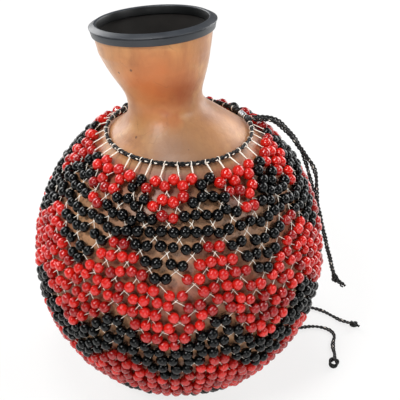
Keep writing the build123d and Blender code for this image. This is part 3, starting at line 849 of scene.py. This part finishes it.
# Cast acrylic beads, polished by tumbling: clear red that glows where light comes through, and solid black
redAcrylic, tree = newMaterial("tumbled red acrylic")
redCloud = addNoise(tree, objectPlace(tree), 3.0, 2.0)["Fac"]
redShare = calculate(tree, "MULTIPLY_ADD", redCloud, 0.5, addMark(tree, "tint"))
addShader(tree, {
    "Base Color": addRamp(tree, redShare, (0.1, "#720507"), (1.0, "#c6180e")),
    "Roughness": remap(tree, redCloud, (0.0, 1.0), (0.06, 0.16)), "IOR": 1.49,
    "Coat Weight": 0.2, "Coat Roughness": 0.04,
    "Subsurface Weight": 0.06, "Subsurface Radius": (1.0, 0.16, 0.1), "Subsurface Scale": 0.002})

blackAcrylic, tree = newMaterial("tumbled black acrylic")
scuff = addNoise(tree, objectPlace(tree), 2.2, 4.0)["Fac"]
addShader(tree, {
    "Base Color": mixTones(tree, addMark(tree, "tint"), "#010102", "#060708"),
    "Roughness": remap(tree, scuff, (0.0, 1.0), (0.04, 0.13)), "IOR": 1.42, "Specular IOR Level": 0.36})

beadShape = {"Diameter": net["beadLook"] * toMetres, "Stretch": 1.08, "Hole depth": 0.0022,
             "Segments": 12, "Rings": 6, "Seed": 3}
beadNodes = [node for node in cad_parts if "beads_row" in node]
for name, chosen, material, slot, word in (
    ("redBeads", ~beadBlack, redAcrylic, "red_bead", "red"),
    ("blackBeads", beadBlack, blackAcrylic, "black_bead", "black"),
):
    values = {**beadShape, "Material": material}
    piece = growPiece(name, beads[chosen], [], {"axis": beadAxis[chosen]}, beadTree, values)
    seat(piece, "bead_net", slot, *[node for node in beadNodes if node.startswith(word)])
    print(name, len(piece.data.polygons), "faces")

# Threads: each strand as a thin round tube along its points
threadTree, given = newTree("drawn threads", {"Diameter": "Float", "Sides": "Int", "Material": "Material"})
threadLine = addNode(threadTree, "GeometryNodeMeshToCurve", {"Mesh": given["Geometry"]})
threadRound = addNode(threadTree, "GeometryNodeCurvePrimitiveCircle", {
    "Resolution": given["Sides"], "Radius": calculate(threadTree, "MULTIPLY", given["Diameter"], 0.5)})
threadTube = addNode(threadTree, "GeometryNodeCurveToMesh", {
    "Curve": threadLine.outputs["Curve"], "Profile Curve": threadRound.outputs["Curve"], "Fill Caps": True})
finishTree(threadTree, threadTube.outputs["Mesh"], given["Material"])


def drawThreads(name, lines, *nodes):
    points, edges = [], []
    for line in lines:
        edges += [(len(points) + i, len(points) + i + 1) for i in range(len(line) - 1)]
        points += [tuple(point) for point in line]
    values = {"Diameter": net["threadLook"] * toMetres, "Sides": net["threadSides"], "Material": threadCotton}
    return seat(growPiece(name, points, edges, {}, threadTree, values), "bead_net", "white_thread", *nodes)


drawThreads("netThreads", [
    (low, bead - axis * net["threadInBead"], bead + axis * net["threadInBead"], high)
    for low, bead, axis, high in zip(strandLow, beads, strandAxis, strandHigh)
], "net_threads_left", "net_threads_right")

# Small knots and loops: two turns of thread that cross
knotTree, given = newTree("thread turns", {
    "Ring radius": "Float", "Thread radius": "Float", "Ring sides": "Int", "Thread sides": "Int",
    "Crossing": "Float", "Material": "Material"})
turnLine = addNode(knotTree, "GeometryNodeCurvePrimitiveCircle", {
    "Resolution": given["Ring sides"], "Radius": given["Ring radius"]})
turnRound = addNode(knotTree, "GeometryNodeCurvePrimitiveCircle", {
    "Resolution": given["Thread sides"], "Radius": given["Thread radius"]})
oneTurn = addNode(knotTree, "GeometryNodeCurveToMesh", {
    "Curve": turnLine.outputs["Curve"], "Profile Curve": turnRound.outputs["Curve"]})
crossTurn = addNode(knotTree, "ShaderNodeCombineXYZ", {"X": given["Crossing"], "Z": 0.4})
otherTurn = addNode(knotTree, "GeometryNodeTransform", {
    "Geometry": oneTurn.outputs["Mesh"], "Rotation": crossTurn.outputs["Vector"]})
turns = addNode(knotTree, "GeometryNodeJoinGeometry", {"Geometry": oneTurn.outputs["Mesh"]})
knotTree.links.new(otherTurn.outputs["Geometry"], turns.inputs["Geometry"])
turnPlaced = addNode(knotTree, "GeometryNodeInstanceOnPoints", {
    "Points": given["Geometry"], "Instance": turns.outputs["Geometry"],
    "Rotation": aimAlong(knotTree, "axis")})
finishTree(knotTree, turnPlaced.outputs["Instances"], given["Material"])

netKnot = {"ringRadius": 0.42, "threadRadius": 0.3, "ringSides": 6, "crossing": 1.3}


def tieTurns(name, points, axes, look, *nodes):
    values = {
        "Ring radius": look["ringRadius"] * toMetres, "Thread radius": look["threadRadius"] * toMetres,
        "Ring sides": look["ringSides"], "Thread sides": net["threadSides"], "Crossing": look["crossing"],
        "Material": threadCotton}
    piece = growPiece(name, points, [], {"axis": axes}, knotTree, values)
    return seat(piece, "bead_net", "white_thread", *nodes)


knotPoints = knots.reshape(-1, 3)
knotAxes = unit(chance.normal(0, 1, knotPoints.shape))
tieTurns("netKnots", knotPoints, knotAxes, netKnot, "net_knots")
print("threads and knots made")

# The cord round the neck and the one under the base, each with its knot
ringCord = {
    "neckHeight": 222.4, "baseRadius": 49.95, "neckKnot": 105.0, "baseKnot": 115.0, "steps": 240,
    "knotLength": 6.4, "knotWidth": 6.0, "knotTuck": 1.5, "radius": 1.5, "loopGap": 0.25,
}
neckCordLift = net["clearance"] + net["threadDiameter"] + ringCord["loopGap"] + ringCord["radius"]
neckRingRadius = upperCentre + sqrt(
    (upperArc + neckCordLift) ** 2 - (ringCord["neckHeight"] - gourd["bellyHeight"]) ** 2)
lowerNetArc = lowerArc + netLift
baseTurn = acos((ringCord["baseRadius"] - lowerCentre) / lowerNetArc)
baseRingHeight = gourd["bellyHeight"] - lowerNetArc * sin(baseTurn)
neckSlope = asin((ringCord["neckHeight"] - gourd["bellyHeight"]) / (upperArc + neckCordLift))
knotOutset = net["clearance"] + ringCord["knotWidth"] / 2 - neckCordLift


def ringLine(radius, height, knotAzimuth):
    gap = degrees((ringCord["knotLength"] - ringCord["knotTuck"]) / 2 / radius)
    return np.array([
        outward(azimuth) * radius + up * height
        for azimuth in np.linspace(knotAzimuth + gap, knotAzimuth + 360 - gap, ringCord["steps"])])


for name, radius, height, azimuth, outset, rise, replaced in (
    ("neckCord", neckRingRadius, ringCord["neckHeight"], ringCord["neckKnot"],
     knotOutset * cos(neckSlope), knotOutset * sin(neckSlope), "neck"),
    ("baseCord", ringCord["baseRadius"], baseRingHeight, ringCord["baseKnot"], 0.0, 0.0, "base"),
):
    store = FaceStore()
    addPlait(store, ringLine(radius, height, azimuth), ringPlait, firstAcross=up)
    seat(store.piece(name, [cordNylon, threadCotton]), "bead_net", "black_cord", replaced + "_cord")
    store = FaceStore()
    centre = outward(azimuth) * (radius + outset) + up * (height + rise)
    addOverhand(store, centre, sideways(azimuth), ringCord["knotWidth"], ringCord["knotLength"])
    seat(store.piece(name + "Knot", [cordNylon]), "bead_net", "black_cord", replaced + "_knot")

# Doubled threads hang the net from the neck cord, and gather it to the base cord
hanger = {
    "slide": 1.6, "spread": 0.32, "start": 0.6, "bow": 0.2, "loopSway": 0.18,
    "baseSpread": 0.55, "baseShort": 0.9, "baseSteps": 7,
    "loop": {"ringRadius": 1.78, "threadRadius": net["threadLook"] / 2, "ringSides": 14, "crossing": 0.22},
}
hangerLines, loopPoints, loopAxes = [], [], []
for column, azimuth in enumerate(rowAzimuths(0)):
    moved = azimuth + degrees(float(chance.uniform(-hanger["slide"], hanger["slide"])) / neckRingRadius)
    cordPoint = outward(moved) * neckRingRadius + up * ringCord["neckHeight"]
    knot = knots[0, column]
    run = unit(knot - cordPoint)
    for side in (-1, 1):
        top = cordPoint + run * hanger["loop"]["ringRadius"] * hanger["start"]
        top = top + sideways(moved) * side * hanger["spread"]
        hangerLines.append((top, (top + knot) / 2 + sideways(moved) * side * hanger["bow"], knot))
    loopPoints.append(cordPoint)
    loopAxes.append(unit(sideways(moved) + chance.normal(0, hanger["loopSway"], 3)))
drawThreads("hangerThreads", hangerLines, "hanger_threads")
tieTurns("hangerLoops", loopPoints, loopAxes, hanger["loop"], "hanger_loops")

baseLines, baseLoopPoints, baseLoopAxes = [], [], []
lastTurn = -rowArcs[-1] / lowerNetArc
for column, azimuth in enumerate(rowAzimuths(net["rows"])):
    for side in (-1, 1):
        line = []
        for share in np.linspace(0, 1, hanger["baseSteps"]):
            turn = lastTurn + (baseTurn - hanger["baseShort"] / lowerNetArc - lastTurn) * share
            flat = lowerCentre + lowerNetArc * cos(turn)
            high = gourd["bellyHeight"] - lowerNetArc * sin(turn)
            aside = sideways(azimuth) * side * hanger["baseSpread"]
            line.append(outward(azimuth) * flat + up * high + aside)
        line[0] = knots[-1, column]
        baseLines.append(line)
    baseLoopPoints.append(outward(azimuth) * ringCord["baseRadius"] + up * baseRingHeight)
    baseLoopAxes.append(sideways(azimuth))
drawThreads("baseThreads", baseLines, "base_threads")
tieTurns("baseLoops", baseLoopPoints, baseLoopAxes, hanger["loop"], "base_loops")
print("hangers and base threads made")

# Crimped sleeve that joins the neck cord: soft aluminium tube, pinched in two places
sleeve = {
    "azimuth": 115.0, "length": 6.2, "radius": 2.45, "bore": 1.72, "sides": 24,
    "round": 0.3, "roundPoints": 3, "pinch": 0.35, "pinchAt": 1.2, "pinchReach": 0.7,
}
aluminium, tree = newMaterial("crimped aluminium")  # drawn tube, dulled by handling
dulling = addNoise(tree, objectPlace(tree), 1.5, 4.0)["Fac"]
addShader(tree, {
    "Base Color": mixTones(tree, dulling, "#8f9296", "#c9cccf"), "Metallic": 1.0,
    "Roughness": remap(tree, dulling, (0.0, 1.0), (0.3, 0.55))})

sleeveCentre = outward(sleeve["azimuth"]) * neckRingRadius + up * ringCord["neckHeight"]
sleeveEnd = sleeve["length"] / 2
sleeveCorners = [(sleeve["bore"], -sleeveEnd), (sleeve["radius"], -sleeveEnd)]
for middle in (-sleeve["pinchAt"], sleeve["pinchAt"]):
    sleeveCorners += [
        (sleeve["radius"], middle - sleeve["pinchReach"]),
        (sleeve["radius"] - sleeve["pinch"], middle),
        (sleeve["radius"], middle + sleeve["pinchReach"]),
    ]
sleeveCorners += [(sleeve["radius"], sleeveEnd), (sleeve["bore"], sleeveEnd)]
sleeveOutline = roundedOutline(sleeveCorners, sleeve["round"], sleeve["roundPoints"])
sleevePiece = outlineRing(
    "crimpSleeve", sleeveCentre, sideways(sleeve["azimuth"]), sleeveOutline, sleeve["sides"], aluminium)
seat(sleevePiece, "bead_net", "sleeve_metal", "crimp_sleeve")
print("sleeve made")

# Pale floor that keeps a soft shadow, and soft studio light from large panels
studio = {
    "floorReach": 4.0, "floorGlow": 0.75, "glossyShare": 0.2, "worldLight": 0.18, "aim": (0, 0, 0.14),
    "panels": [
        ("key", (-0.8, -0.9, 1.5), 0.42, 19.0),
        ("fill", (1.2, -0.6, 1.0), 0.4, 7.0),
        ("top", (-0.15, -0.1, 1.6), 0.45, 8.0),
        ("front", (0.1, -1.7, 0.4), 0.5, 5.0),
        ("edgeLeft", (-0.95, 1.05, 0.7), 1.0, 15.0),
        ("edgeRight", (1.1, 0.85, 0.6), 1.0, 15.0),
    ],
}
floorPaper, tree = newMaterial("white paper floor")
ray = addNode(tree, "ShaderNodeLightPath")
shownTo = calculate(
    tree, "MULTIPLY_ADD", ray.outputs["Is Glossy Ray"], studio["glossyShare"], ray.outputs["Is Camera Ray"])
paper = addNode(tree, "ShaderNodeBsdfDiffuse", {"Color": hexColour("#e9e9e7")})
glow = addNode(tree, "ShaderNodeEmission", {"Color": hexColour("#ffffff"), "Strength": 1.0})
floorMix = addNode(tree, "ShaderNodeMixShader", {
    0: calculate(tree, "MULTIPLY", shownTo, studio["floorGlow"]),
    1: paper.outputs["BSDF"], 2: glow.outputs["Emission"]})
addNode(tree, "ShaderNodeOutputMaterial", {"Surface": floorMix.outputs["Shader"]})
reach = studio["floorReach"]
floorMesh = bpy.data.meshes.new("floor")
floorCorners = [(-reach, -reach, 0), (reach, -reach, 0), (reach, reach, 0), (-reach, reach, 0)]
floorMesh.from_pydata(floorCorners, [], [(0, 1, 2, 3)])
floorMesh.materials.append(floorPaper)
floor = bpy.data.objects.new("floor", floorMesh)
scene.collection.objects.link(floor)

world = bpy.data.worlds.new("studio")
scene.world = world
world.use_nodes = True
tree = world.node_tree
tree.nodes.clear()
ray = addNode(tree, "ShaderNodeLightPath")
dim = addNode(tree, "ShaderNodeBackground", {"Color": (1, 1, 1, 1), "Strength": studio["worldLight"]})
bright = addNode(tree, "ShaderNodeBackground", {"Color": (1, 1, 1, 1), "Strength": 1.0})
worldMix = addNode(tree, "ShaderNodeMixShader", {
    0: ray.outputs["Is Camera Ray"], 1: dim.outputs["Background"], 2: bright.outputs["Background"]})
addNode(tree, "ShaderNodeOutputWorld", {"Surface": worldMix.outputs["Shader"]})
for name, place, size, power in studio["panels"]:
    light = bpy.data.lights.new(name, "AREA")
    light.size, light.energy = size, power
    lamp = bpy.data.objects.new(name, light)
    lamp.location = place
    lamp.rotation_euler = (Vector(studio["aim"]) - lamp.location).to_track_quat("-Z", "Y").to_euler()
    scene.collection.objects.link(lamp)
print("studio set")
